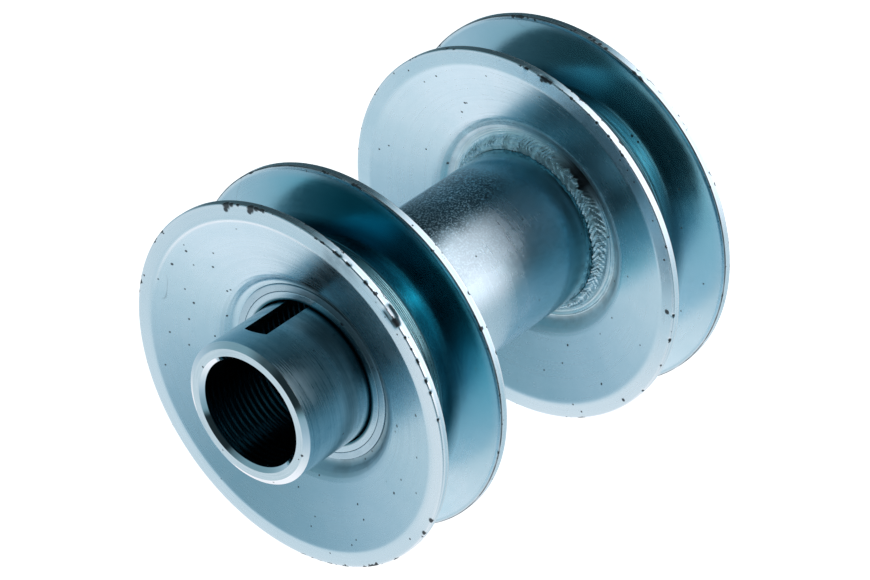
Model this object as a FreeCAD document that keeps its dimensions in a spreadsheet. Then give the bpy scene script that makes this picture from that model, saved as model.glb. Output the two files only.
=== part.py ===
import FreeCAD, Part
import os
import Sketcher

# Driving dimensions, in millimetres and degrees
SIZES = [
    ("bore_diameter", 25.4, "bore for a one inch shaft"),
    ("sleeve_diameter", 33.6, "outside of the keyed sleeve"),
    ("nose_reach", 12.5, "sleeve end beyond the front sheave's rim"),
    ("tail_reach", 2.0, "sleeve end beyond the tube's rear end"),
    ("outer_chamfer_width", 1.35, "radial width of the chamfer round each sleeve end"),
    ("bore_chamfer_width", 1.0, "radial width of the chamfer at each bore mouth"),
    ("end_chamfer_depth", 0.85, "axial depth of both chamfers"),
    ("key_width", 6.35, "width of the key slot, a quarter inch key"),
    ("key_slot_setback", 6.1, "nose face to the slot's near end"),
    ("key_slot_length", 32.0, "length of the key slot"),
    ("key_slot_bow", 0.75, "how far each slot end bows out"),
    ("tube_diameter", 38.1, "outside of the spacer tube"),
    ("tube_overhang", 3.1, "tube end beyond each sheave's mid-plane"),
    ("tube_mouth_width", 0.5, "radial width of the chamfer inside each tube end"),
    ("tube_mouth_depth", 0.8, "axial depth of that chamfer"),
    ("fit_clearance", 0.08, "radial clearance between pieces that seat on each other"),
    ("sheave_spacing", 74.8, "mid-plane of one sheave to the other's"),
    ("front_diameter", 85.8, "rim of the front sheave"),
    ("front_width", 21.0, "front sheave over both rims"),
    ("rear_diameter", 90.6, "rim of the rear sheave"),
    ("rear_width", 20.4, "rear sheave over both rims"),
    ("flange_thickness", 1.95, "width of each flange's rim"),
    ("land_width", 3.7, "flat land round each rim"),
    ("flange_angle", 19.0, "slope of the flanges' outer cones from the radial plane"),
    ("groove_angle", 15.5, "slope of the groove's sides from the radial plane"),
    ("groove_lip", 0.9, "flat inside each rim, before the groove's side starts"),
    ("groove_depth", 13.5, "rim to the flat bottom of the groove"),
    ("valley_width", 1.6, "step from the cone down to the web"),
    ("valley_ease", 0.9, "flat side of the chamfer that softens the foot of that step"),
    ("valley_ease_share", 0.3, "share of the step that this chamfer takes"),
    ("web_thickness", 5.6, "web round the tube"),
    ("front_web_flat", 2.85, "front sheave's flat web, from the tube to the foot of the step"),
    ("rear_web_flat", 5.25, "rear sheave's flat web, from the tube to the foot of the step"),
    ("face_weld_width", 1.75, "dressed weld ring, tube to outer edge"),
    ("face_weld_depth", 1.2, "how deep that ring sits in the web"),
    ("bead_leg_on_tube", 2.6, "fillet bead along the tube"),
    ("bead_toe_gap", 1.0, "fillet bead's toe, short of the step's foot"),
    ("bead_crown", 0.45, "how far the bead's face stands above a straight fillet"),
]

document = FreeCAD.newDocument("pulley")
sheet = document.addObject("Spreadsheet::Sheet", "sizes")
for row, (alias, size, meaning) in enumerate(SIZES, start=1):
    sheet.set(f"A{row}", alias)
    sheet.set(f"B{row}", str(size))
    sheet.setAlias(f"B{row}", alias)
    sheet.set(f"C{row}", meaning)
document.recompute()

# Heights of the main planes above the rear rim, as expressions of the sheet
SLEEVE_RADIUS = "sizes.sleeve_diameter / 2"
BORE_RADIUS = "sizes.bore_diameter / 2"
TUBE_RADIUS = "sizes.tube_diameter / 2"
TUBE_BORE_RADIUS = f"{SLEEVE_RADIUS} + sizes.fit_clearance"
SEAT_RADIUS = f"{TUBE_RADIUS} + sizes.fit_clearance"
REAR_MIDDLE = "sizes.rear_width / 2"
FRONT_MIDDLE = f"{REAR_MIDDLE} + sizes.sheave_spacing"
TUBE_FOOT = f"{REAR_MIDDLE} - sizes.tube_overhang"
TUBE_LENGTH = "sizes.sheave_spacing + 2 * sizes.tube_overhang"
SLEEVE_FOOT = f"{TUBE_FOOT} - sizes.tail_reach"
NOSE_HEIGHT = f"{FRONT_MIDDLE} + sizes.front_width / 2 + sizes.nose_reach"
SLEEVE_LENGTH = f"{NOSE_HEIGHT} - ({SLEEVE_FOOT})"


def number(expression):
    """The value of an expression of the sheet."""
    return float(sheet.evalExpression(expression))


def new_body(label, height):
    """A body of its own, raised to its height above the rear rim."""
    body = document.addObject("PartDesign::Body", label)
    body.Label = label
    body.setExpression("Placement.Base.z", height)
    return body


def section_sketch(body, name):
    """A sketch on the body's XZ plane, with radius across and height up."""
    sketch = body.newObject("Sketcher::SketchObject", name)
    plane = next(item for item in body.Origin.OriginFeatures if item.Role == "XZ_Plane")
    sketch.AttachmentSupport = [(plane, "")]
    sketch.MapMode = "FlatFace"
    return sketch


def place_corner(sketch, edge, end, label, across, up):
    """Holds one end of an edge at its two expressions."""
    for kind, direction, expression, axis in (
        ("across", "DistanceX", across, -2),
        ("up", "DistanceY", up, -1),
    ):
        if expression == "0":
            sketch.addConstraint(Sketcher.Constraint("PointOnObject", edge, end, axis))
            continue
        constraint = Sketcher.Constraint(direction, -1, 1, edge, end, number(expression))
        index = sketch.addConstraint(constraint)
        sketch.renameConstraint(index, f"{label}_{kind}")
        sketch.setExpression(f"Constraints.{label}_{kind}", expression)


def arc_between(start, end, bow):
    """An arc from start to end that bows to the right of the way by its sagitta."""
    chord = end - start
    side = FreeCAD.Vector(chord.y, -chord.x, 0).normalize()
    return Part.Arc(start, (start + end) * 0.5 + side * bow, end)


def draw_outline(sketch, corners):
    """Draws a closed outline; a corner is a label, two expressions and the bow of the edge that follows."""
    points = [FreeCAD.Vector(number(across), number(up), 0) for _, across, up, _ in corners]
    starts = []
    for index, (label, across, up, bow) in enumerate(corners):
        start, end = points[index], points[(index + 1) % len(points)]
        if bow is None:
            edge = sketch.addGeometry(Part.LineSegment(start, end), False)
            starts.append(1)
            continue
        edge = sketch.addGeometry(arc_between(start, end, number(bow)), False)
        starts.append(1 if sketch.getPoint(edge, 1).isEqual(start, 1e-6) else 2)
        half_chord = (end - start).Length / 2
        radius = (half_chord ** 2 + number(bow) ** 2) / (2 * number(bow))
        sketch.addConstraint(Sketcher.Constraint("Radius", edge, radius))
    for index, (label, across, up, _) in enumerate(corners):
        before = index - 1 if index else len(corners) - 1
        before_end = 3 - starts[before]
        sketch.addConstraint(Sketcher.Constraint("Coincident", before, before_end, index, starts[index]))
        place_corner(sketch, index, starts[index], label, across, up)


def revolve(body, name, corners):
    """Turns a closed outline right round the body's axis."""
    sketch = section_sketch(body, f"{name}_outline")
    draw_outline(sketch, corners)
    turned = body.newObject("PartDesign::Revolution", name)
    turned.Profile = sketch
    turned.ReferenceAxis = (sketch, ["V_Axis"])
    turned.Angle = 360.0
    document.recompute()
    return turned


def keyed_sleeve():
    """The sleeve that takes the shaft: chamfered ends and a key slot milled through one side."""
    body = new_body("keyed_sleeve", SLEEVE_FOOT)
    face_outer = f"{SLEEVE_RADIUS} - sizes.outer_chamfer_width"
    face_inner = f"{BORE_RADIUS} + sizes.bore_chamfer_width"
    shoulder = f"{SLEEVE_LENGTH} - sizes.end_chamfer_depth"
    revolve(body, "sleeve_wall", [
        ("foot_inner", face_inner, "0", None),
        ("foot_outer", face_outer, "0", None),
        ("foot_shoulder", SLEEVE_RADIUS, "sizes.end_chamfer_depth", None),
        ("nose_shoulder", SLEEVE_RADIUS, shoulder, None),
        ("nose_outer", face_outer, SLEEVE_LENGTH, None),
        ("nose_inner", face_inner, SLEEVE_LENGTH, None),
        ("bore_top", BORE_RADIUS, shoulder, None),
        ("bore_foot", BORE_RADIUS, "sizes.end_chamfer_depth", None),
    ])
    solid_volume = body.Shape.Volume
    slot_top = f"{SLEEVE_LENGTH} - sizes.key_slot_setback - sizes.key_slot_bow"
    slot_foot = f"{SLEEVE_LENGTH} - sizes.key_slot_setback - sizes.key_slot_length + sizes.key_slot_bow"
    half_key = "sizes.key_width / 2"
    sketch = section_sketch(body, "key_slot_outline")
    draw_outline(sketch, [
        ("left_foot", f"-({half_key})", slot_foot, "sizes.key_slot_bow"),
        ("right_foot", half_key, slot_foot, None),
        ("right_top", half_key, slot_top, "sizes.key_slot_bow"),
        ("left_top", f"-({half_key})", slot_top, None),
    ])
    slot = body.newObject("PartDesign::Pocket", "key_slot")
    slot.Profile = sketch
    slot.setExpression("Length", "sizes.sleeve_diameter")
    slot.Reversed = True
    document.recompute()
    if body.Shape.Volume >= solid_volume:
        raise RuntimeError("the key slot cuts nothing")
    return body


def spacer_tube():
    """The tube over the sleeve, which carries both sheaves."""
    body = new_body("spacer_tube", TUBE_FOOT)
    mouth = f"{TUBE_BORE_RADIUS} + sizes.tube_mouth_width"
    revolve(body, "tube_wall", [
        ("foot_inner", mouth, "0", None),
        ("foot_outer", TUBE_RADIUS, "0", None),
        ("top_outer", TUBE_RADIUS, TUBE_LENGTH, None),
        ("top_inner", mouth, TUBE_LENGTH, None),
        ("bore_top", TUBE_BORE_RADIUS, f"{TUBE_LENGTH} - sizes.tube_mouth_depth", None),
        ("bore_foot", TUBE_BORE_RADIUS, "sizes.tube_mouth_depth", None),
    ])
    return body


def sheave(label, middle, diameter, width, web_flat, dressed_side):
    """A sheave rolled from one disc: a thick web, a flat groove bottom and two dished flanges.

    dressed_side is 1 where the recess for the dressed weld is on top, and -1 where it is underneath.
    """
    body = new_body(label, middle)
    rim = f"{diameter} / 2"
    half = f"{width} / 2"
    half_web = "sizes.web_thickness / 2"
    crease = f"{rim} - sizes.land_width"
    web_end = f"{TUBE_RADIUS} + {web_flat}"
    cone_end = f"{web_end} + sizes.valley_width"
    bottom = f"{rim} - sizes.groove_depth"
    lip_edge = f"{rim} - sizes.groove_lip"
    cone_height = f"{half} - ({crease} - ({cone_end})) * tan(sizes.flange_angle)"
    lip_height = f"{half} - sizes.flange_thickness"
    bottom_height = f"{lip_height} - ({lip_edge} - ({bottom})) * tan(sizes.groove_angle)"
    recess = f"{SEAT_RADIUS} + sizes.face_weld_width"
    recess_floor = f"{half_web} - sizes.face_weld_depth"

    face = [
        ("web_end", f"{web_end} - sizes.valley_ease", half_web),
        ("valley_rise", f"{web_end} + sizes.valley_ease_share * sizes.valley_width",
         f"{half_web} + sizes.valley_ease_share * ({cone_height} - {half_web})"),
        ("cone_end", cone_end, cone_height),
        ("crease", crease, half),
        ("rim_face", rim, half),
        ("rim_groove", rim, lip_height),
        ("lip_edge", lip_edge, lip_height),
        ("bottom", bottom, bottom_height),
    ]
    dressed = [
        ("recess_floor", SEAT_RADIUS, recess_floor),
        ("recess_corner", recess, recess_floor),
        ("recess_edge", recess, half_web),
    ]
    plain = [("seat", SEAT_RADIUS, half_web)]
    top = (dressed if dressed_side > 0 else plain) + face
    under = (dressed if dressed_side < 0 else plain) + face
    corners = [(f"top_{name}", across, up, None) for name, across, up in top]
    corners += [(f"under_{name}", across, f"-({up})", None) for name, across, up in reversed(under)]
    revolve(body, f"{label}_section", corners)
    return body


def face_weld(label, foot):
    """The weld between tube and sheave at an outer face, dressed flat with the tube's end."""
    body = new_body(label, foot)
    inner = SEAT_RADIUS
    outer = f"{TUBE_RADIUS} + sizes.face_weld_width"
    height = "sizes.tube_overhang - sizes.web_thickness / 2 + sizes.face_weld_depth"
    revolve(body, f"{label}_ring", [
        ("foot_inner", inner, "0", None),
        ("foot_outer", outer, "0", None),
        ("top_outer", outer, height, None),
        ("top_inner", inner, height, None),
    ])
    return body


def fillet_bead(label, web_face, web_flat, side):
    """The fillet weld between tube and web on the side that faces the other sheave."""
    body = new_body(label, web_face)
    root = SEAT_RADIUS
    toe = f"{TUBE_RADIUS} + {web_flat} - sizes.bead_toe_gap"
    leg = "sizes.bead_leg_on_tube"
    outline = [
        ("root", root, "0"),
        ("toe", toe, "0"),
        ("crown", f"({root} + {toe}) / 2", f"{leg} / 2 + sizes.bead_crown"),
        ("top", root, leg),
    ]
    if side < 0:
        outline = [(name, across, up if up == "0" else f"-({up})") for name, across, up in reversed(outline)]
    revolve(body, f"{label}_bead", [(name, across, up, None) for name, across, up in outline])
    return body


def build_pieces():
    """Every piece of the pulley, each in a body of its own."""
    half_web = "sizes.web_thickness / 2"
    weld_sink = f"({half_web} - sizes.face_weld_depth)"
    front_flat, rear_flat = "sizes.front_web_flat", "sizes.rear_web_flat"
    return [
        keyed_sleeve(),
        spacer_tube(),
        sheave("front_sheave", FRONT_MIDDLE, "sizes.front_diameter", "sizes.front_width", front_flat, 1),
        sheave("rear_sheave", REAR_MIDDLE, "sizes.rear_diameter", "sizes.rear_width", rear_flat, -1),
        face_weld("front_face_weld", f"{FRONT_MIDDLE} + {weld_sink}"),
        face_weld("rear_face_weld", TUBE_FOOT),
        fillet_bead("front_inner_weld", f"{FRONT_MIDDLE} - {half_web}", front_flat, -1),
        fillet_bead("rear_inner_weld", f"{REAR_MIDDLE} + {half_web}", rear_flat, 1),
    ]


def check_and_write(pieces):
    """Stops on any failed object, then writes each piece to a file named by its label."""
    document.recompute()
    for item in document.Objects:
        if "Invalid" in item.State or "Error" in item.State:
            raise RuntimeError(f"{item.Label} failed: {item.State}")
    for piece in pieces:
        if piece.Shape.isNull() or not piece.Shape.isValid():
            raise RuntimeError(f"{piece.Label} has no valid shape")
    os.makedirs("parts", exist_ok=True)
    for piece in pieces:
        piece.Shape.exportStep(f"parts/{piece.Label}.step")
        box = piece.Shape.BoundBox
        print(f"{piece.Label}: volume {piece.Shape.Volume:.1f}, z {box.ZMin:.2f} to {box.ZMax:.2f}, "
              f"across {box.XLength:.2f}")


check_and_write(build_pieces())
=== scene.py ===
import math

import bmesh
import bpy
import numpy as np
from mathutils import Matrix, Vector


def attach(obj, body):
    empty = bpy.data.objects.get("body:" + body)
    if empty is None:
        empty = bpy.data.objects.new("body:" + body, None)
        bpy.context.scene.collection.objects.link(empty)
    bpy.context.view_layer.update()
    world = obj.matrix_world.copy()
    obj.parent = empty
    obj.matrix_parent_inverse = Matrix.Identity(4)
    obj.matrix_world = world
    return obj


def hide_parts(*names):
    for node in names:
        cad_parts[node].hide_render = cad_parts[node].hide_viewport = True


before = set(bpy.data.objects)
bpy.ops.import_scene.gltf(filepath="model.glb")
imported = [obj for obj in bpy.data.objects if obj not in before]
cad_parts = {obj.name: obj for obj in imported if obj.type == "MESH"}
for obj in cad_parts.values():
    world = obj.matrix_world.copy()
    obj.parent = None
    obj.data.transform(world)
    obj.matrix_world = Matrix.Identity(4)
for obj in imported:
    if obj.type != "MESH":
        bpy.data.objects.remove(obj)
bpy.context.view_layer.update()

MM = 0.001
TAU = 2 * math.pi

# Main sizes in millimetres, within 0.1 of the solids' but for the tube's mouth.
# Heights are above the rear rim
BORE = 12.7
SLEEVE = 16.8
SLEEVE_FOOT, SLEEVE_TOP = 5.1, 108.0
FACE_OUTER, FACE_INNER, CHAMFER_DEPTH = 15.45, 13.7, 0.85
KEY_HALF, KEY_TOP, KEY_FOOT, KEY_BOW = 3.175, 101.15, 70.65, 0.75
TUBE, TUBE_BORE = 19.05, 16.88
TUBE_FOOT, TUBE_TOP = 7.1, 88.1
TUBE_MOUTH, TUBE_MOUTH_DEPTH = 0.3, 0.5
SEAT = 19.13
LAND, FLANGE, CONE, VALLEY, GROOVE, WEB = 3.7, 1.95, 19.4, 1.6, 13.5, 2.8
SLOPE, GROOVE_SLOPE, LIP = math.tan(math.radians(19)), math.tan(math.radians(15.5)), 0.9
RECESS, RECESS_DEPTH = 20.8, 1.2
FRONT_MIDDLE, FRONT_RIM, FRONT_HALF = 85.0, 42.9, 10.5
REAR_MIDDLE, REAR_RIM, REAR_HALF = 10.2, 45.3, 10.2
RING_HEIGHT, RING_GAP = 1.5, 0.02
FRONT_BEAD_WIDTH, REAR_BEAD_WIDTH = 1.78, 4.15

# Directions round the axis, in radians
SOOT_AT, FRONT_SOOT_AT = math.radians(-139), math.radians(-126)
# The next line gives where a painted dark reflection, the groove's painted shade, its lit place and a brushed
# patch are centred
DARK_REFLECTION_AT, DEEP_AT, LIT_AT, BRUSHED_AT = (math.radians(degrees) for degrees in (-123, -130, -143, -149))
# Then the side of painted shade round the webs' steps, the side of a painted highlight on the front crease,
# and the bead's low side
STEP_SHADE_SIDE, CREASE_SIDE, BEAD_LOW_SIDE = (math.radians(degrees) for degrees in (175, -75, 120))
# Sides where the lands of the sheaves take a painted highlight
FRONT_PALE_SIDE, REAR_PALE_SIDE = math.radians(175), math.radians(115)
# Patches of dirt on the turned floor of a groove: how dark, where and how wide
FLOOR_DIRT = ((0.6, math.radians(188), 0.21), (0.7, math.radians(-108), 0.24))


# Outlines in radius and height, turned round the axis

def unit(v):
    return v / np.hypot(*v)


def rounded(corners):
    """The closed outline of corners (radius, height, rounding), with the roundings worked in."""
    points = []
    for index, (across, up, radius) in enumerate(corners):
        here = np.array((across, up), float)
        if radius <= 0:
            points.append(here)
            continue
        before = np.array(corners[index - 1][:2], float)
        after = np.array(corners[(index + 1) % len(corners)][:2], float)
        back, ahead = unit(before - here), unit(after - here)
        half = math.acos(np.clip(back @ ahead, -1, 1)) / 2
        turn = math.pi - 2 * half
        if turn < 1e-3:
            points.append(here)
            continue
        middle = here + unit(back + ahead) * radius / math.sin(half)
        start = here + back * radius / math.tan(half) - middle
        end = here + ahead * radius / math.tan(half) - middle
        steps = max(2, math.ceil(turn / math.radians(15)))
        for step in range(steps + 1):
            mixed = start * math.sin(turn * (1 - step / steps)) + end * math.sin(turn * step / steps)
            points.append(middle + mixed / math.sin(turn))
    return np.array(points)


def spread(points, near=0.18, growth=2.4, longest=3.8):
    """Adds points to the long runs of a closed outline, close together at the ends of a run."""
    made = []
    for index, start in enumerate(points):
        end = points[(index + 1) % len(points)]
        run = np.hypot(*(end - start))
        stops, step, at = [], near, near
        while at < run / 2:
            stops.append(at)
            step = min(step * growth, longest)
            at += step
        shares = sorted({0.0, *(s / run for s in stops), *(1 - s / run for s in stops)})
        made += [start + (end - start) * share for share in shares]
    return np.array(made)


def add_heights(points, radius, heights):
    """Puts extra points at the given heights on the cylinder of that radius."""
    made = []
    for index, start in enumerate(points):
        end = points[(index + 1) % len(points)]
        made.append(start)
        if abs(start[0] - radius) > 1e-6 or abs(end[0] - radius) > 1e-6:
            continue
        low, high = sorted((start[1], end[1]))
        inside = sorted(h for h in heights if low + 0.02 < h < high - 0.02)
        for height in inside if end[1] > start[1] else reversed(inside):
            made.append(np.array((radius, height)))
    return np.array(made)


def mesh_object(name, vertices, faces, marks):
    """A smooth-shaded mesh object from points in millimetres, with its outside facing out."""
    mesh = bpy.data.meshes.new(name)
    mesh.from_pydata((np.asarray(vertices) * MM).tolist(), [], faces)
    for label, values in marks.items():
        layer = mesh.attributes.new(label, "FLOAT", "POINT")
        layer.data.foreach_set("value", np.asarray(values, np.float32).ravel())
    work = bmesh.new()
    work.from_mesh(mesh)
    bmesh.ops.delete(work, geom=[v for v in work.verts if not v.link_faces], context="VERTS")
    if work.calc_volume(signed=True) < 0:
        bmesh.ops.reverse_faces(work, faces=work.faces)
    work.to_mesh(mesh)
    work.free()
    mesh.shade_smooth()
    mesh.set_sharp_from_angle(angle=math.radians(32))
    item = bpy.data.objects.new(name, mesh)
    bpy.context.scene.collection.objects.link(item)
    normals = item.modifiers.new("normals", "WEIGHTED_NORMAL")
    normals.keep_sharp = True
    normals.weight = 60
    return item


def grid_faces(rows, columns):
    """Quads of a grid that closes on itself both ways."""
    i, j = np.meshgrid(np.arange(rows), np.arange(columns), indexing="ij")
    i2, j2 = (i + 1) % rows, (j + 1) % columns
    quads = np.stack([i * columns + j, i * columns + j2, i2 * columns + j2, i2 * columns + j], axis=-1)
    return quads.reshape(-1, 4)


def lathe(name, outline, angles, shape):
    """Turns a closed outline round the axis. shape moves the points and returns named marks."""
    radius, angle = np.meshgrid(outline[:, 0], angles, indexing="ij")
    height = np.repeat(outline[:, 1][:, None], len(angles), axis=1)
    radius, height, marks = shape(radius, height, angle)
    points = np.stack([radius * np.cos(angle), radius * np.sin(angle), height], axis=-1)
    return mesh_object(name, points.reshape(-1, 3), grid_faces(*radius.shape).tolist(), marks)


def even_angles(count):
    return np.arange(count) * TAU / count


def smooth(value, low, high):
    share = np.clip((value - low) / (high - low), 0, 1)
    return share * share * (3 - 2 * share)


def wrapped(angle):
    return (angle + math.pi) % TAU - math.pi


def peak(angle, middle, width):
    """A soft peak of 1 at a direction round the axis."""
    return np.exp(-(wrapped(angle - middle) / width) ** 2)


def wave(rng, angle, low, high, fall=0.7):
    """A smooth random curve round the axis, about -1 to 1."""
    total = sum(rng.uniform(-1, 1) / (k / low) ** fall * np.sin(k * angle + rng.uniform(0, TAU))
                for k in range(low, high))
    return total / np.abs(total).max()


# The two sheaves

def sheave_outline(rim, half, dressed, crease_round):
    """Half-plane outline of a sheave about its mid-plane; dressed is 1 or -1, the side of the recess."""
    crease, cone_end = rim - LAND, rim - CONE
    bottom = rim - GROOVE
    cone_up = half - (crease - cone_end) * SLOPE
    face = [
        (cone_end - VALLEY, WEB, 1.7),
        (cone_end, cone_up, 5.0),
        (crease, half, crease_round),
        (rim, half, 0.3),
        (rim, half - FLANGE, 0.3),
        (rim - LIP, half - FLANGE, 0.8),
        (bottom, wall_up(rim, half, bottom), 0.5),
    ]
    recess = [(SEAT, WEB - RECESS_DEPTH, 0), (RECESS, WEB - RECESS_DEPTH, 0), (RECESS, WEB, 0.12)]
    plain = [(SEAT, WEB, 0)]
    land_row = [(rim - 1.3, half, 0)] * (dressed > 0)
    top = (recess if dressed > 0 else plain) + face[:3] + land_row + face[3:]
    under = (recess if dressed < 0 else plain) + face
    return top + [(r, -z, f) for r, z, f in reversed(under)]


def wall_up(rim, half, radius):
    """Height of the groove's side above the mid-plane."""
    return half - FLANGE - (rim - LIP - radius) * GROOVE_SLOPE


def angles_with(nicks, rim, count=320):
    """Even angles, closer together round each nick."""
    made = set(np.round(even_angles(count), 6))
    for degrees, _, _, long, _, _ in nicks:
        reach = (long + 0.5) / rim
        for step in np.linspace(-reach, reach, 2 * math.ceil(reach * rim / 0.25) + 1):
            made.add(round((math.radians(degrees) + step) % TAU, 6))
    made = sorted(made)
    keep = [made[0]]
    for angle in made[1:]:
        if angle - keep[-1] > 0.08 / rim:
            keep.append(angle)
    return np.array(keep)


def sheave(name, middle, rim, half, dressed, crease_round, ridges, nicks, soot, floor_tint, seed):
    """One sheave, with its marks of wear, its painted shade and its painted highlights.

    middle is the height of its mid-plane, and half is half its width. A ridge is its height and how
    far it stands up from the groove's floor. A nick is its angle, radius, height, half length, half
    width and depth. floor_tint, from 0 to 1, is how far the groove's floor takes the painted shade of its
    sides.
    """
    outline = spread(rounded(sheave_outline(rim, half, dressed, crease_round)))
    bottom = rim - GROOVE
    stops = [ridge + off for ridge, _ in ridges for off in (-0.4, -0.2, -0.1, 0, 0.1, 0.2, 0.4)]
    outline = add_heights(outline, bottom, stops)
    in_front = dressed > 0
    soot_at = FRONT_SOOT_AT if in_front else SOOT_AT
    pale_side = FRONT_PALE_SIDE if in_front else REAR_PALE_SIDE

    def shape(radius, height, angle):
        at_bottom = np.abs(radius - bottom) < 1e-6
        inside = (np.abs(height) < wall_up(rim, half, radius) + 0.06) & (radius > bottom - 0.1)
        dressed_side = np.sign(height) == dressed
        sooty_side = dressed_side if in_front else ~dressed_side

        # The groove: painted shade, a deeper darker colour strongest in two opposite directions round the
        # axis, and darker painted shade at the foot of its sides but for one lit place; dirt on its turned
        # floor
        off_floor = floor_tint + (1 - floor_tint) * smooth(radius, bottom + 0.25, bottom + 1.2)
        deep_in = np.clip(0.6 + 0.6 * np.cos(2 * (angle - DEEP_AT)), 0, 1)
        groove = inside * smooth(rim - radius, 0.4, 3.0) * off_floor * deep_in
        up_wall = inside * (1 - smooth(radius, bottom + 2.6, bottom + 4.0)) * (np.abs(height) > 4.0)
        lit = peak(angle, LIT_AT - 0.12 * floor_tint, 0.085 + 0.06 * floor_tint)
        round_lit = 0.93 * (1 - lit) + 0.45 * floor_tint * lit
        at_foot = 0.9 * (1 - smooth(radius, bottom + 0.15, bottom + 1.1))
        shade_and_dirt = (1 - 0.4 * floor_tint) * up_wall * np.maximum(round_lit, at_foot)
        # A pale painted sheen on the turned floor, which gives way to dirt in patches
        turned_floor = inside * (radius < bottom + 0.3) * (np.abs(height) < 4.75) * (1 - floor_tint)
        dirt = sum(share * peak(angle, at, width) for share, at, width in FLOOR_DIRT)
        shade_and_dirt = np.maximum(shade_and_dirt, dirt * turned_floor)
        turned_floor = turned_floor * (1 - dirt)

        # The faces: painted shade round the web's step on one side, a painted dark reflection on the front
        # face, more painted shade at the rear's step, and painted highlights at crease and land
        # Painted shade round the web's step, stronger on one side
        step = (1 - smooth(radius, rim - CONE - 1.2, rim - CONE + 1.4)) * ~inside * (radius > RECESS - 0.1)
        shade_side = smooth(np.cos(angle - STEP_SHADE_SIDE), -0.35, 0.35)
        # A painted dark reflection on the front face; on the rear, painted shade on the step's other side
        if in_front:
            off_rim = np.abs(radius - rim) > 0.4
            painted_shade = dressed_side * peak(angle, DARK_REFLECTION_AT, 0.13) * smooth(radius, 25, 32) * off_rim
        else:
            painted_shade = 0.45 * step * (1 - shade_side)
        # Painted highlights: a bright line along the front crease near the top, and paler lands on their lit
        # sides
        on_crease = np.exp(-((radius - rim + LAND + 0.3) / 0.32) ** 2)
        at_top = smooth(np.cos(angle - CREASE_SIDE), 0.5, 0.95) * in_front
        on_land = smooth(radius, rim - LAND - 1.0, rim - LAND + 1.4) * (height > half - 0.9)
        painted_highlight = np.maximum(0.7 * ~inside * at_top * on_crease,
                             0.4 * on_land * in_front * (1 - peak(angle, SOOT_AT, 0.7)))
        painted_highlight = np.maximum(painted_highlight, 0.7 * on_land * smooth(np.cos(angle - pale_side), 0.6, 0.95))

        # The rim: a painted highlight at its edges, with a broken dark line at its inner corner
        rim_gap = np.hypot(radius - rim, np.minimum(np.abs(np.abs(height) - half),
                                                    np.abs(np.abs(height) - half + FLANGE)))
        edge = 1 - smooth(rim_gap, 0.1, 0.75)
        dark = soot * sooty_side * (1 - smooth(radius, 22.5, 26.0)) * peak(angle, soot_at, 0.36)
        corner = np.hypot(radius - rim, np.abs(height) - half + FLANGE)
        broken = 0.8 + 0.5 * wave(np.random.default_rng(seed), angle, 3, 90, 0.3)
        dark = np.maximum(dark, (1 - smooth(corner, 0.1, 0.32)) * np.clip(broken, 0, 1))

        for ridge, tall in ridges:
            radius = radius + at_bottom * tall * np.exp(-((height - ridge) / 0.16) ** 2)
        for degrees, at_radius, at_height, long, wide, depth in nicks:
            along = wrapped(angle - math.radians(degrees)) * rim / long
            across = np.hypot(radius - at_radius, height - at_height) / wide
            bite = np.exp(-along ** 4) * np.exp(-across ** 2)
            radius = radius - bite * depth
            height = height - bite * depth * 0.8 * np.sign(height)
            dark = np.maximum(dark, smooth(bite, 0.25, 0.6) * (0.2 if depth > 0.6 else 0.95))
        return radius, height + middle, {
            "groove": groove, "shade_and_dirt": shade_and_dirt, "edge": edge, "step_shade": step * shade_side, "dark": dark,
            "turned": turned_floor, "painted_shade": painted_shade, "bright": painted_highlight}

    return lathe(name, outline, angles_with(nicks, rim), shape)


FRONT_NICKS = [
    (-143.2, 42.7, 10.0, 1.7, 1.1, 0.75), (-146.4, 42.6, 10.3, 1.1, 0.85, 0.5),
    (-121.5, 42.9, 10.35, 1.0, 0.3, 0.22), (-125.6, 42.9, 10.35, 0.7, 0.3, 0.22),
    (-132.5, 42.8, 10.4, 0.4, 0.35, 0.25), (-158.6, 42.9, 10.4, 0.6, 0.3, 0.2),
    (-164.6, 42.9, 10.4, 0.5, 0.35, 0.25), (-168.2, 42.9, 10.4, 0.4, 0.3, 0.2),
    (-176.5, 42.9, 10.4, 0.35, 0.3, 0.15), (-151.2, 42.9, 10.4, 0.35, 0.3, 0.15),
    (-151.0, 42.9, -10.3, 0.5, 0.3, 0.2), (118.0, 42.9, -10.3, 0.6, 0.35, 0.25),
    (158.0, 42.9, -8.7, 0.5, 0.3, 0.2),
]
REAR_NICKS = [
    (-112.7, 45.2, 10.1, 1.5, 0.4, 0.25), (-106.0, 45.2, 10.1, 0.6, 0.35, 0.2),
    (-131.9, 45.2, 10.1, 0.35, 0.3, 0.2), (-136.8, 45.2, 10.1, 0.3, 0.3, 0.15),
    (166.7, 45.2, 10.1, 0.4, 0.3, 0.2), (158.2, 45.2, 10.1, 0.35, 0.3, 0.15),
    (135.0, 45.2, 10.1, 0.35, 0.3, 0.15), (-76.3, 45.3, 9.6, 0.5, 0.4, 0.2),
    (-93.0, 45.3, 8.4, 0.4, 0.35, 0.2), (-125.7, 45.3, -10.1, 0.4, 0.3, 0.2),
    (-129.7, 45.3, -10.1, 0.35, 0.3, 0.2), (-134.4, 45.3, -10.1, 0.4, 0.3, 0.2),
    (-145.4, 45.3, -10.1, 0.4, 0.3, 0.2), (-161.2, 45.3, -10.1, 0.5, 0.3, 0.2),
]
FRONT_RIDGES = [(-2.85, 0.05), (2.6, 0.04)]
REAR_RIDGES = [(-2.9, 0.12), (0.0, 0.12), (2.9, 0.12)]
front_disc = sheave("front_disc", FRONT_MIDDLE, FRONT_RIM, FRONT_HALF, 1, crease_round=1.2,
                    ridges=FRONT_RIDGES, nicks=FRONT_NICKS, soot=0.6, floor_tint=0.0, seed=21)
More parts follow.
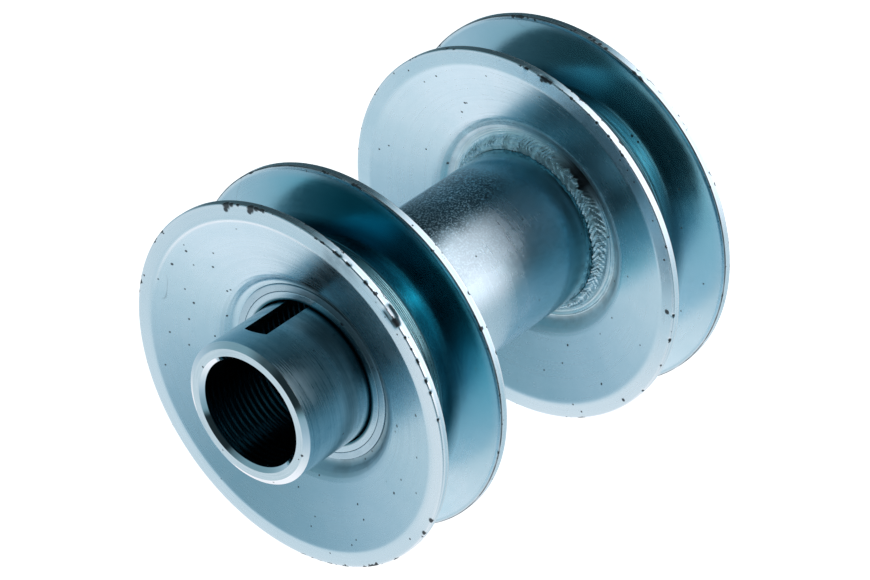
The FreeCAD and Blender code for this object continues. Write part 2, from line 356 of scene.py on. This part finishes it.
rear_disc = sheave("rear_disc", REAR_MIDDLE, REAR_RIM, REAR_HALF, -1, crease_round=2.2,
                   ridges=REAR_RIDGES, nicks=REAR_NICKS, soot=0.55, floor_tint=0.8, seed=22)


# The keyed sleeve

KEY_COLUMNS, ROUND_COLUMNS = 12, 228
COLUMNS = KEY_COLUMNS + ROUND_COLUMNS
BOW_REACH = 3.0


def sleeve_rows():
    """The outline as points (radius, height), the levels of its walls and the count of its foot's points.

    It runs down the outside, round the foot, up the bore and round the top.
    """
    stages = (SLEEVE_FOOT + CHAMFER_DEPTH, KEY_FOOT, KEY_TOP, SLEEVE_TOP - CHAMFER_DEPTH)
    levels = set()
    for low, high in zip(stages, stages[1:]):
        run = spread(np.array([(0, low), (0, high)]), near=0.3, longest=2.4)
        levels.update(round(z, 4) for z in run[:, 1])
    levels = sorted(levels)
    outer = [(SLEEVE, z) for z in reversed(levels)]
    inner = [(BORE, z) for z in levels]
    end = spread(np.array([(BORE, SLEEVE_TOP - CHAMFER_DEPTH), (FACE_INNER, SLEEVE_TOP),
                           (FACE_OUTER, SLEEVE_TOP), (SLEEVE, SLEEVE_TOP - CHAMFER_DEPTH)]), near=0.08)
    top = [p for p in end if p[1] > SLEEVE_TOP - CHAMFER_DEPTH + 1e-6]
    foot = [np.array((p[0], SLEEVE_FOOT + SLEEVE_TOP - p[1])) for p in reversed(top)]
    return np.array([*outer, *foot, *inner, *top]), levels, len(foot)


def sleeve_faces(row_count, levels, foot_count):
    """Quads of the sleeve, with the key slot left out and its walls put in."""
    low_key, high_key = levels.index(KEY_FOOT), levels.index(KEY_TOP)

    def outer(level, column):
        return (len(levels) - 1 - level) * COLUMNS + column

    def inner(level, column):
        return (len(levels) + foot_count + level) * COLUMNS + column

    cut = set()
    for level in range(low_key, high_key):
        for column in range(KEY_COLUMNS):
            cut.update((outer(level + 1, column), inner(level, column)))
    quads = grid_faces(row_count, COLUMNS).tolist()
    faces = [quad for index, quad in enumerate(quads) if index not in cut]
    for level in range(low_key, high_key):
        for column, flip in ((0, False), (KEY_COLUMNS, True)):
            quad = [outer(level, column), outer(level + 1, column),
                    inner(level + 1, column), inner(level, column)]
            faces.append(quad[::-1] if flip else quad)
    for level, flip in ((low_key, True), (high_key, False)):
        for column in range(KEY_COLUMNS):
            quad = [outer(level, column), outer(level, column + 1),
                    inner(level, column + 1), inner(level, column)]
            faces.append(quad[::-1] if flip else quad)
    return faces


def sleeve_marks(r, z, angle):
    """Marks of wear and of painted shade: the bore, painted shadow at the tube's end, a brushed patch and
    bright ends.
    """
    in_bore = np.repeat(((r < BORE + 0.05) & (z < SLEEVE_TOP - 0.3)) * 1.0, COLUMNS)
    # Painted shadow at the sleeve's root by the tube's end, on one side
    root = (1 - smooth(z, TUBE_TOP + 0.2, TUBE_TOP + 3.4)) * (r > SLEEVE - 0.1)
    shade_and_dirt = 0.9 * root[:, None] * smooth(np.cos(angle - SOOT_AT), 0.72, 0.97)
    outside = ((r > SLEEVE - 0.1) & (z > TUBE_TOP))[:, None]
    brushed = outside * peak(angle, BRUSHED_AT, 0.30) * smooth(z, 92, 100)[:, None]
    cut_end = (z > SLEEVE_TOP - CHAMFER_DEPTH - 0.01) & (r > BORE + 0.01)
    chamfer = cut_end & (z < SLEEVE_TOP - 0.01)
    brushed = brushed - 0.75 * chamfer[:, None]
    bright = np.repeat(0.5 * cut_end + 0.3 * chamfer, COLUMNS)
    return {"bore": in_bore, "shade_and_dirt": shade_and_dirt, "brushed": brushed, "bright": bright}


def sleeve():
    """The sleeve. Its first columns span the key slot, whose ends are bowed."""
    rows, levels, foot_count = sleeve_rows()
    r, z = rows[:, 0], rows[:, 1]
    across = np.linspace(-1, 1, KEY_COLUMNS + 1)
    edge = np.arcsin(KEY_HALF / r)
    angle = np.empty((len(rows), COLUMNS))
    angle[:, :KEY_COLUMNS + 1] = np.arcsin(np.outer(1 / r, across * KEY_HALF))
    rest = np.arange(1, ROUND_COLUMNS) / ROUND_COLUMNS
    angle[:, KEY_COLUMNS + 1:] = edge[:, None] + (TAU - 2 * edge)[:, None] * rest
    angle -= math.pi / 2
    height = np.repeat(z[:, None], COLUMNS, axis=1)
    up = np.clip(1 - np.abs(z - KEY_TOP) / BOW_REACH, 0, 1)
    down = np.clip(1 - np.abs(z - KEY_FOOT) / BOW_REACH, 0, 1)
    height[:, :KEY_COLUMNS + 1] += KEY_BOW * (1 - across ** 2)[None, :] * (up - down)[:, None]
    points = np.stack([r[:, None] * np.cos(angle), r[:, None] * np.sin(angle), height], axis=-1)
    faces = sleeve_faces(len(rows), levels, foot_count)
    return mesh_object("sleeve_body", points.reshape(-1, 3), faces, sleeve_marks(r, z, angle))


sleeve_body = sleeve()


# The spacer tube

tube_corners = [
    (TUBE_BORE + TUBE_MOUTH, TUBE_FOOT, 0.15), (TUBE, TUBE_FOOT, 0.1), (TUBE, TUBE_TOP, 0.1),
    (TUBE_BORE + TUBE_MOUTH, TUBE_TOP, 0.15),
    (TUBE_BORE, TUBE_TOP - TUBE_MOUTH_DEPTH, 0), (TUBE_BORE, TUBE_FOOT + TUBE_MOUTH_DEPTH, 0),
]


def frosting(radius, height, angle):
    """Marks of the tube: coarse plating with a ragged border on one side, painted shade at its foot, and its
    bore.
    """
    rng = np.random.default_rng(5)
    border = 2.0 * np.sin(height * 0.7 + 1.0) + 4.0 * wave(rng, angle, 2, 20)
    degrees = np.degrees(angle) - 360 + border
    frost = smooth(degrees, -156, -146) * (0.4 + 0.6 * smooth(degrees, -126, -112))
    frost = frost * (1 - smooth(degrees, -66, -52))
    frost = frost * smooth(height + 0.5 * border, 21, 32) * (radius > TUBE - 0.15) * (height < TUBE_TOP - 0.3)
    # A deeper, darker colour towards the tube's foot: painted shade
    return radius, height, {
        "frost": frost, "groove": 1 - smooth(height + 1.5 * border, 14, 44), "bore": (radius < 17.6) * 1.0}


tube_body = lathe("tube_body", spread(rounded(tube_corners)), even_angles(320), frosting)


# Welds: a dressed ring at each outer face, a rippled fillet bead at each inner side

def sooty(radius, height, angle):
    """Marks of burnt dirt on one side of the dressed weld."""
    burnt = peak(angle, FRONT_SOOT_AT, 0.55)
    return radius, height, {"dark": burnt * (0.45 + 0.2 * wave(np.random.default_rng(31), angle, 3, 24))}


def face_ring(name, foot):
    outer, top = RECESS - RING_GAP, foot + RING_HEIGHT
    corners = [(SEAT, foot, 0), (outer, foot, 0), (outer, top, 0.15), (SEAT, top, 0.1)]
    return lathe(name, spread(rounded(corners), longest=0.4), even_angles(360), sooty)


front_ring = face_ring("front_ring", FRONT_MIDDLE + WEB - RECESS_DEPTH)
rear_ring = face_ring("rear_ring", TUBE_FOOT)

BEAD_LINE = [(0.0, 2.6), (0.45, 2.6), (1.0, 2.42), (1.55, 2.05), (2.05, 1.6), (2.5, 1.12), (2.9, 0.7),
             (3.25, 0.42), (3.6, 0.28), (3.95, 0.26), (4.3, 0.28), (4.6, 0.2), (4.85, 0.08), (5.0, 0.0)]


def bead(name, foot, width, side):
    """A fillet bead: a main run with ripples on the tube and a low ridge at its toe."""
    line = np.array(BEAD_LINE)
    line[:, 0] *= width / line[-1, 0]
    fine = np.linspace(0, len(line) - 1, 53)
    line = np.stack([np.interp(fine, np.arange(len(line)), line[:, k]) for k in (0, 1)], axis=1)
    underside = np.stack([np.linspace(width, 0, 8)[1:], np.zeros(7)], axis=1)
    outline = np.concatenate([line, underside])
    outline[:, 0] += SEAT
    rng = np.random.default_rng(11 if side > 0 else 12)

    def shape(radius, height, angle):
        across = (radius - SEAT) / width
        sway, toe_sway = wave(rng, angle, 2, 16), wave(rng, angle, 6, 60, 0.5)
        beat, swell = wave(rng, angle, 5, 40), wave(rng, angle, 10, 90, 0.4)
        on_top = height > 1e-6
        low_side = smooth(np.cos(angle - BEAD_LOW_SIDE), 0.2, 0.8)
        bent = np.abs(across - 0.36 + 0.1 * low_side - 0.04 * sway)
        phase = 92 * angle + 9.0 * bent / 0.3 + 9.0 * beat
        ripple = np.sin(phase) + 0.45 * np.sin(2.3 * phase + 3 * sway)
        ripple = ripple + 0.35 * np.sin(311 * angle + 40 * across)
        run_end = 0.72 - 0.24 * low_side
        run = 1 - smooth(across, run_end - 0.06, run_end + 0.06)
        valley = run * (1 - smooth(bent, 0.02, 0.1))
        toe = np.clip(1 - np.abs(across - 0.84) / 0.14, 0, 1) * (0.25 + 0.75 * low_side)
        waves = 0.12 * ripple + 0.18 * swell + 0.12 * sway
        height = height + on_top * run * np.clip(height / 1.2, 0, 1) * waves
        height = height - on_top * (0.1 * valley + 0.22 * smooth(across, run_end, run_end + 0.1) * (1 - toe))
        height = height + on_top * toe * (0.12 + 0.09 * toe_sway + 0.06 * swell)
        height = np.where(on_top, np.maximum(height, 0.04), height)
        radius = radius + on_top * smooth(across, 0.1, 0.4) * (1 - smooth(across, 0.6, 0.9)) * 0.16 * sway
        burnt = np.exp(-(wrapped(angle - SOOT_AT) / 0.36) ** 4) if side > 0 else 0 * angle
        streak = wave(rng, angle + 0.3 * across, 20, 130, 0.2)
        streak = streak + 0.4 * wave(rng, angle + 0.2 * across, 60, 200, 0.1)
        border = 0.44 + 0.12 * streak + 0.12 * swell
        dark = 0.95 * smooth(burnt, 0.1, 0.9) * smooth(across, border, border + 0.08) * (0.8 + 0.35 * beat)
        # Painted shade on the step down past the bead's run
        step_shade = smooth(across, run_end, run_end + 0.1) * (1 - toe)
        return radius, foot + side * height, {"dark": dark, "painted_shade": 0.4 * step_shade}

    return lathe(name, outline, even_angles(1260 if side > 0 else 720), shape)


rear_bead = bead("rear_bead", REAR_MIDDLE + WEB, REAR_BEAD_WIDTH, 1)
front_bead = bead("front_bead", FRONT_MIDDLE - WEB, FRONT_BEAD_WIDTH, -1)


# Materials

class Nodes:
    """A short way to add and link the nodes of one tree."""

    def __init__(self, tree):
        self.tree = tree

    def add(self, kind, inputs=(), **settings):
        node = self.tree.nodes.new(kind)
        for key, value in settings.items():
            setattr(node, key, value)
        for key, value in dict(inputs).items():
            self.put(node.inputs[key], value)
        return node

    def put(self, socket, value):
        if isinstance(value, bpy.types.NodeSocket):
            self.tree.links.new(value, socket)
        else:
            socket.default_value = value

    def math(self, operation, a, b=0.0, c=0.0):
        return self.add("ShaderNodeMath", {0: a, 1: b, 2: c}, operation=operation).outputs[0]

    def plus(self, a, b):
        return self.math("ADD", a, b)

    def times(self, a, b):
        return self.math("MULTIPLY", a, b)

    def times_plus(self, a, b, c):
        return self.math("MULTIPLY_ADD", a, b, c)

    def least(self, a, b):
        return self.math("MINIMUM", a, b)

    def most(self, a, b):
        return self.math("MAXIMUM", a, b)

    def noise(self, vector, scale, detail, rough):
        inputs = {"Vector": vector, "Scale": scale, "Detail": detail, "Roughness": rough}
        return self.add("ShaderNodeTexNoise", inputs).outputs["Fac"]

    def fit(self, value, low, high, to_low, to_high):
        return self.add("ShaderNodeMapRange", {0: value, 1: low, 2: high, 3: to_low, 4: to_high}).outputs[0]

    def mix(self, share, a, b):
        node = self.add("ShaderNodeMix", data_type="RGBA")
        for socket, value in zip((0, 6, 7), (share, a, b)):
            self.put(node.inputs[socket], value)
        return node.outputs[2]

    def vector(self, x, y, z):
        return self.add("ShaderNodeCombineXYZ", {0: x, 1: y, 2: z}).outputs[0]


def new_material(name):
    """A material with its nodes, and the sockets of its shader."""
    material = bpy.data.materials.new(name)
    material.use_nodes = True
    return material, Nodes(material.node_tree), material.node_tree.nodes["Principled BSDF"].inputs


# Painted shade: in corners mixed with dirt, in patches and dark reflections, and round steps
SHADE_AND_DIRT, PAINTED_SHADE, STEP_SHADE = (0.03, 0.15, 0.20, 1), (0.14, 0.23, 0.28, 1), (0.30, 0.40, 0.43, 1)
# A painted highlight on rims, a painted sheen on a groove's turned floor, and painted highlights at crease
# and land that also pale the sleeve's cut ends
RIM_HIGHLIGHT, FLOOR_SHEEN, PALE_MARK = (0.84, 0.90, 0.93, 1), (0.52, 0.93, 1.0, 1), (0.86, 0.94, 0.985, 1)
# Bare metal in chips, painted shade in the bores, and the dark between the tube's crystals
BARE, BORE_SHADE, PLATING_GAP = (0.012, 0.014, 0.016, 1), (0.04, 0.15, 0.19, 1), (0.07, 0.11, 0.13, 1)
CUT_PITCH, BORE_PITCH = 0.00046, 0.0016


def plated(name, pale, deep, rough, turned, tint=(0.15, 0.56, 0.66), grain=0.15, lines=1400.0,
           frost=0.0, streak=0.0, metallic=1.0, spots=()):
    """Zinc plating: blotchy in colour and gloss, with fine lines round the axis and a fine grain.

    pale and deep are the ends of its colour, tint is its colour under the painted shade of a groove,
    and rough holds the ends of its roughness. turned, grain and frost are heights of the lines, the grain
    and the frosting. lines is how close the lines stand, and streak is their share in the colour. Marks on
    the mesh paint shade, dark reflections and highlights on it, and dirty, chip or frost it. A spot is the
    angle, radius, height and size of a dark chip.
    """
    material, n, sockets = new_material(name)
    spot = n.add("ShaderNodeTexCoord").outputs["Object"]
    x, y, z = n.add("ShaderNodeSeparateXYZ", {0: spot}).outputs
    radius = n.math("SQRT", n.plus(n.times(x, x), n.times(y, y)))
    cos, sin = n.math("DIVIDE", x, radius), n.math("DIVIDE", y, radius)
    ring = n.vector(n.times_plus(cos, 0.0006, radius), n.times_plus(sin, 0.0006, z), n.times(cos, 0.0004))
    blotch = n.noise(spot, 55.0, 4.0, 0.6)
    cloud = n.noise(spot, 240.0, 5.0, 0.65)
    brushed = n.noise(ring, lines, 3.0, 0.6)
    fine = n.noise(spot, 4200.0, 2.0, 0.6)
    chip = n.noise(spot, 620.0, 3.0, 0.6)
    groove, shade_and_dirt, edge, step_shade, dark, frosty, bore, turned_floor, rubbed, painted_shade, bright = (
        n.add("ShaderNodeAttribute", attribute_name=label).outputs["Fac"]
        for label in ("groove", "shade_and_dirt", "edge", "step_shade", "dark", "frost", "bore", "turned",
                      "brushed", "painted_shade", "bright"))

    # Colour of the whole plating
    tone = n.plus(n.times(blotch, 0.6 * (1 - streak)), n.times(cloud, 0.4 * (1 - streak)))
    tone = n.times_plus(brushed, streak, tone)
    colour = n.mix(n.fit(tone, 0.38, 0.62, 0.0, 1.0), (*deep, 1), (*pale, 1))
    # Painted shade: a deeper, darker colour in the grooves and at the tube's foot
    colour = n.mix(groove, colour, (*tint, 1))
    # Painted shade in corners, mixed with dirt
    colour = n.mix(shade_and_dirt, colour, SHADE_AND_DIRT)
    # Painted shade and painted dark reflections in patches
    colour = n.mix(n.times(painted_shade, n.fit(cloud, 0.3, 0.7, 0.35, 1.0)), colour, PAINTED_SHADE)
    # A painted highlight on the rims' edges
    colour = n.mix(n.times(edge, 0.7), colour, RIM_HIGHLIGHT)
    # A painted pale sheen on a groove's turned floor
    colour = n.mix(turned_floor, colour, FLOOR_SHEEN)
    # Painted highlights at crease and land; paler cut ends on the sleeve
    colour = n.mix(bright, colour, PALE_MARK)
    # Painted shade round steps
    colour = n.mix(n.times(step_shade, n.fit(cloud, 0.35, 0.65, 0.4, 0.8)), colour, STEP_SHADE)

    # Scratches, pits, worn edges and chips, down to bare metal
    off_line = n.math("ABSOLUTE", n.math("SUBTRACT", n.noise(spot, 36.0, 1.0, 0.4), 0.5))
    hair = n.math("SUBTRACT", 1.0, n.fit(off_line, 0.0, 0.0011, 0.0, 1.0))
    hair = n.times(hair, n.fit(n.noise(spot, 85.0, 1.0, 0.5), 0.60, 0.68, 0.0, 0.3))
    pits = n.add("ShaderNodeTexVoronoi", {"Vector": spot, "Scale": 290.0, "Randomness": 1.0}).outputs
    pit = n.fit(pits["Distance"], 0.045, 0.085, 1.0, 0.0)
    chosen = n.add("ShaderNodeSeparateColor", {0: pits["Color"]}).outputs[0]
    pit = n.times(pit, n.fit(chosen, 0.50, 0.56, 0.0, 0.8))
    worn = n.times_plus(n.noise(spot, 85.0, 2.0, 0.6), 0.8, n.times_plus(edge, 0.16, chip))
    worn = n.times(n.fit(worn, 1.17, 1.20, 0.0, 0.9), n.math("GREATER_THAN", edge, 0.12))
    spoiled = n.most(n.most(dark, worn), n.most(pit, hair))
    for degrees, at_radius, height, size in spots:
        way = math.radians(degrees)
        centre = (at_radius * math.cos(way) * MM, at_radius * math.sin(way) * MM, height * MM)
        gap = n.add("ShaderNodeVectorMath", {0: spot, 1: centre}, operation="DISTANCE").outputs["Value"]
        ragged = n.times_plus(chip, 0.5 * size * MM, gap)
        spoiled = n.most(spoiled, n.fit(ragged, 0.75 * size * MM, 1.1 * size * MM, 0.9, 0.0))
    colour = n.mix(spoiled, colour, BARE)
    # Painted shade in the bores
    colour = n.mix(bore, colour, BORE_SHADE)

    # Gloss and relief
    gloss = n.fit(n.plus(n.times(cloud, 0.5), n.times(brushed, 0.5)), 0.35, 0.65, *rough)
    gloss = n.times(gloss, n.math("SUBTRACT", 1.0, n.times(groove, 0.6)))
    gloss = n.plus(gloss, n.times(n.most(spoiled, step_shade), 0.2))
    gloss = n.plus(gloss, n.times(rubbed, n.fit(brushed, 0.4, 0.6, 0.12, 0.3)))
    relief = n.plus(n.times(brushed, turned), n.times(fine, grain))
    relief = n.math("SUBTRACT", relief, n.times(spoiled, 1.2))
    cuts = n.math("SINE", n.times_plus(z, TAU / CUT_PITCH, n.times(brushed, 5.0)))
    relief = n.plus(relief, n.times(turned_floor, n.times(cuts, 7.0)))
    bored = n.math("SINE", n.times(z, TAU / BORE_PITCH))
    relief = n.plus(relief, n.times(bore, n.times(bored, 14.0)))
    if frost:
        crystal = n.noise(spot, 2300.0, 2.5, 0.65)
        relief = n.plus(relief, n.times(frosty, n.times(crystal, frost)))
        between = n.times(n.fit(frosty, 0.35, 0.95, 0.12, 1.0), n.fit(crystal, 0.49, 0.60, 0.95, 0.0))
        colour = n.mix(n.times(between, n.math("GREATER_THAN", frosty, 0.02)), colour, PLATING_GAP)
        gloss = n.plus(gloss, n.times(frosty, 0.06))
    n.put(sockets["Base Color"], colour)
    n.put(sockets["Roughness"], gloss)
    n.put(sockets["Metallic"], n.times_plus(spoiled, -0.5, metallic))
    bump = n.add("ShaderNodeBump", {"Strength": 0.3, "Distance": 0.00002, "Height": relief})
    n.put(sockets["Normal"], bump.outputs[0])
    return material


# Dark chips: angle in degrees, then radius, height and size in millimetres

FRONT_SPOTS = [
    (-149.5, 41.3, 95.50, 0.3), (-178.0, 35.4, 94.20, 0.5), (-143.5, 41.0, 95.50, 0.25),
    (-50.6, 37.4, 94.87, 0.25), (-48.7, 36.2, 94.47, 0.45), (-38.8, 37.0, 94.74, 0.5),
    (-51.1, 30.1, 92.36, 0.42), (-29.2, 38.5, 95.28, 0.3), (-26.8, 42.1, 95.50, 0.35),
    (-30.5, 32.6, 93.23, 0.28), (-25.5, 30.1, 92.35, 0.42), (-24.8, 23.0, 89.40, 0.42),
    (-16.3, 30.7, 92.58, 0.35), (-8.2, 35.1, 94.08, 0.3), (-10.5, 25.0, 90.61, 0.35),
    (-43.1, 24.7, 90.52, 0.35), (169.2, 26.8, 91.24, 0.45), (164.0, 34.5, 93.87, 0.33),
    (112.3, 29.6, 92.18, 0.36), (114.0, 32.9, 93.32, 0.36), (126.1, 23.4, 89.96, 0.36),
    (87.9, 24.3, 90.36, 0.33), (138.1, 31.6, 92.88, 0.45), (140.7, 42.6, 95.50, 0.8),
    (133.9, 41.1, 95.50, 0.35), (87.7, 33.1, 93.41, 0.28), (146.8, 31.4, 92.80, 0.3),
    (150.5, 36.6, 94.59, 0.28), (105.5, 37.7, 94.98, 0.3), (94.9, 40.0, 95.50, 0.28),
    (-79.6, 42.7, 95.50, 1.5), (-79.0, 41.6, 95.50, 0.9), (-81.8, 42.9, 95.50, 1.0),
    (-84.4, 43.0, 95.50, 0.8), (-89.4, 42.5, 95.50, 1.4), (-91.4, 42.9, 95.50, 1.1),
    (-88.6, 41.7, 95.50, 0.9), (-93.9, 43.0, 95.50, 0.9), (147.0, 42.6, 95.50, 0.85),
    (140.9, 42.5, 95.50, 0.6),
]
REAR_SPOTS = [
    (-144.0, 43.74, 20.4, 0.35), (-151.3, 43.8, 20.4, 0.35), (-147.5, 43.9, 20.4, 0.3),
    (-175.7, 43.8, 20.4, 0.4), (-138.9, 34.3, 4.76, 0.5), (-142.0, 34.6, 4.68, 0.4),
    (-153.0, 38.6, 3.57, 0.35), (-163.0, 37.9, 3.75, 0.45), (155.1, 24.2, 13.0, 0.4),
    (-25.7, 24.8, 13.6, 0.5), (167.0, 43.4, 20.40, 0.8), (157.9, 45.3, 20.40, 0.75),
    (135.2, 45.3, 20.40, 0.45), (125.8, 44.0, 20.40, 0.6), (105.2, 29.1, 16.08, 0.42),
    (119.5, 38.7, 19.41, 0.4), (106.8, 43.7, 20.40, 0.35), (101.2, 32.9, 17.41, 0.3),
    (91.8, 35.0, 18.12, 0.28), (-69.7, 31.3, 16.84, 0.42), (-64.2, 29.4, 16.20, 0.38),
    (-67.0, 39.5, 19.69, 0.34), (-89.1, 38.9, 19.47, 0.3), (-30.0, 29.7, 16.31, 0.3),
    (-58.1, 43.3, 20.40, 0.34), (140.6, 28.4, 15.87, 0.3), (146.9, 38.3, 19.25, 0.28),
    (-112.7, 45.0, 20.40, 1.1), (-111.6, 44.4, 20.40, 0.7), (-114.4, 45.2, 20.40, 0.8),
    (-109.1, 45.3, 1.27, 0.75), (-110.6, 45.3, 1.32, 0.7), (-112.8, 45.3, 1.40, 0.7),
    (-115.1, 45.3, 1.54, 0.7), (-90.1, 44.9, 1.95, 0.5), (-103.9, 45.3, 1.35, 0.5),
]
TUBE_SPOTS = [
    (176.4, 19.05, 16.3, 0.5), (-170.0, 19.05, 18.0, 0.2), (-130.5, 19.05, 88.1, 0.6),
    (150.0, 19.05, 40.0, 0.25),
]
SLEEVE_SPOTS = [
    (-40.4, 14.0, 108.0, 0.4), (155.9, 15.5, 108.0, 0.5), (150.0, 15.0, 108.0, 0.25),
    (-130.5, 16.8, 88.2, 0.6),
]

front_metal = plated("front_zinc", (0.58, 0.76, 0.845), (0.50, 0.70, 0.79), (0.22, 0.32), 0.12,
                     tint=(0.09, 0.56, 0.67), spots=FRONT_SPOTS)
rear_metal = plated("rear_zinc", (0.62, 0.80, 0.885), (0.54, 0.74, 0.83), (0.20, 0.30), 0.12,
                    tint=(0.40, 0.70, 0.77), spots=REAR_SPOTS)
sleeve_metal = plated("sleeve_zinc", (0.50, 0.68, 0.75), (0.24, 0.44, 0.52), (0.15, 0.26), 0.75,
                      lines=3600.0, streak=0.45, spots=SLEEVE_SPOTS)
tube_metal = plated("tube_zinc", (0.60, 0.75, 0.83), (0.52, 0.69, 0.77), (0.22, 0.35), 0.1,
                    tint=(0.20, 0.47, 0.55), grain=0.6, frost=14.0, spots=TUBE_SPOTS)
ring_metal = plated("ring_zinc", (0.60, 0.76, 0.84), (0.46, 0.62, 0.71), (0.22, 0.36), 0.05,
                    grain=0.8, metallic=0.9)
bead_metal = plated("bead_zinc", (0.80, 0.97, 1.0), (0.62, 0.82, 0.90), (0.20, 0.36), 0.05,
                    grain=0.8, metallic=0.95)

DRESS = [
    (front_disc, front_metal, "plated_sheave", "front_sheave"),
    (rear_disc, rear_metal, "plated_sheave", "rear_sheave"),
    (sleeve_body, sleeve_metal, "plated_sleeve", "keyed_sleeve"),
    (tube_body, tube_metal, "plated_tube", "spacer_tube"),
    (front_ring, ring_metal, "plated_weld", "front_face_weld"),
    (rear_ring, ring_metal, "plated_weld", "rear_face_weld"),
    (front_bead, bead_metal, "plated_weld", "front_inner_weld"),
    (rear_bead, bead_metal, "plated_weld", "rear_inner_weld"),
]
for piece, metal, slot, node in DRESS:
    piece.data.materials.append(metal)
    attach(piece, "root")
    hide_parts(node)


# Floor, light and camera

BASE_LIGHT = 0.33
# A lobe is its azimuth and elevation, where its fall begins and ends, all in degrees, and its level
LOBES = [
    (62, 12, 0, 90, 1.08),
    (50, -42, 18, 48, 1.05),
    (115, -42, 15, 55, 0.78),
    (302, -30, 40, 56, 0.07),
    (292, 70, 4, 26, 0.08),
    (192, 26, 22, 42, 0.05),
    (238, 28, 22, 44, 0.08),
    (208, 64, 20, 32, 0.025),
    (212, -42, 24, 55, 1.5),
    (354, -38, 8, 26, 0.12),
]


def studio_light():
    """A plain studio as seen from the part: soft lobes of light and shade, laid over each other in order."""
    world = bpy.data.worlds.new("studio")
    bpy.context.scene.world = world
    world.use_nodes = True
    n = Nodes(world.node_tree)
    way = n.add("ShaderNodeTexCoord").outputs["Generated"]
    tone = BASE_LIGHT
    for azimuth, elevation, inner, outer, level in LOBES:
        a, e = math.radians(azimuth), math.radians(elevation)
        middle = (math.cos(a) * math.cos(e), math.sin(a) * math.cos(e), math.sin(e))
        facing = n.add("ShaderNodeVectorMath", {0: way, 1: middle}, operation="DOT_PRODUCT").outputs["Value"]
        away = n.math("ARCCOSINE", facing)
        span = {0: away, 1: math.radians(outer), 2: math.radians(inner), 3: 0.0, 4: 1.0}
        share = n.add("ShaderNodeMapRange", span, interpolation_type="SMOOTHSTEP").outputs[0]
        blend = n.add("ShaderNodeMix", data_type="FLOAT")
        for socket, value in zip((0, 2, 3), (share, tone, level)):
            n.put(blend.inputs[socket], value)
        tone = blend.outputs[0]
    # Dark levels are bluer than bright ones
    red = n.most(n.times(n.math("POWER", tone, 1.5), 1.04), n.times(tone, 0.6))
    red = n.least(red, n.times(tone, 1.06))
    blue = n.least(n.math("POWER", tone, 0.75), n.times(tone, 1.16))
    blue = n.most(blue, n.times(tone, 1.03))
    colour = n.add("ShaderNodeCombineColor", {0: red, 1: tone, 2: blue}).outputs[0]
    background = n.tree.nodes["Background"]
    n.put(background.inputs["Color"], colour)
    background.inputs["Strength"].default_value = 1.0


studio_light()

# The floor is white to the camera, and stays out of the metal's mirror and shade
FLOOR_SIZE, FLOOR_HEIGHT = 6.0, -0.0002
bpy.ops.mesh.primitive_plane_add(size=FLOOR_SIZE, location=(0, 0, FLOOR_HEIGHT))
floor = bpy.context.object
floor.name = "floor"
floor.visible_glossy = False
floor.visible_shadow = False
floor_white, n, sockets = new_material("floor_white")
sockets["Base Color"].default_value = (0.9, 0.9, 0.9, 1)
sockets["Roughness"].default_value = 0.9
sockets["Specular IOR Level"].default_value = 0.0
rays = n.add("ShaderNodeLightPath").outputs
seen = n.most(n.most(rays["Is Camera Ray"], rays["Is Glossy Ray"]), rays["Is Transmission Ray"])
sockets["Emission Color"].default_value = (1, 1, 1, 1)
n.put(sockets["Emission Strength"], n.times(seen, 0.9))
floor.data.materials.append(floor_white)

camera = bpy.data.objects.new("camera", bpy.data.cameras.new("camera"))
bpy.context.scene.collection.objects.link(camera)
camera.data.sensor_width = 36.0
camera.data.lens = 174.97
camera.data.clip_start, camera.data.clip_end = 0.05, 20.0
RIGHT = Vector((-0.75138, 0.15380, -0.64171))
UP = Vector((0.19086, -0.88025, -0.43444))
BACK = Vector((-0.63168, -0.44891, 0.63204))
EYE = Vector((-0.5826, -0.4136, 0.6299))
turn = Matrix((RIGHT, UP, BACK)).transposed().to_4x4()
camera.matrix_world = Matrix.Translation(EYE) @ turn
bpy.context.scene.camera = camera

bpy.context.scene.view_settings.view_transform = "Standard"
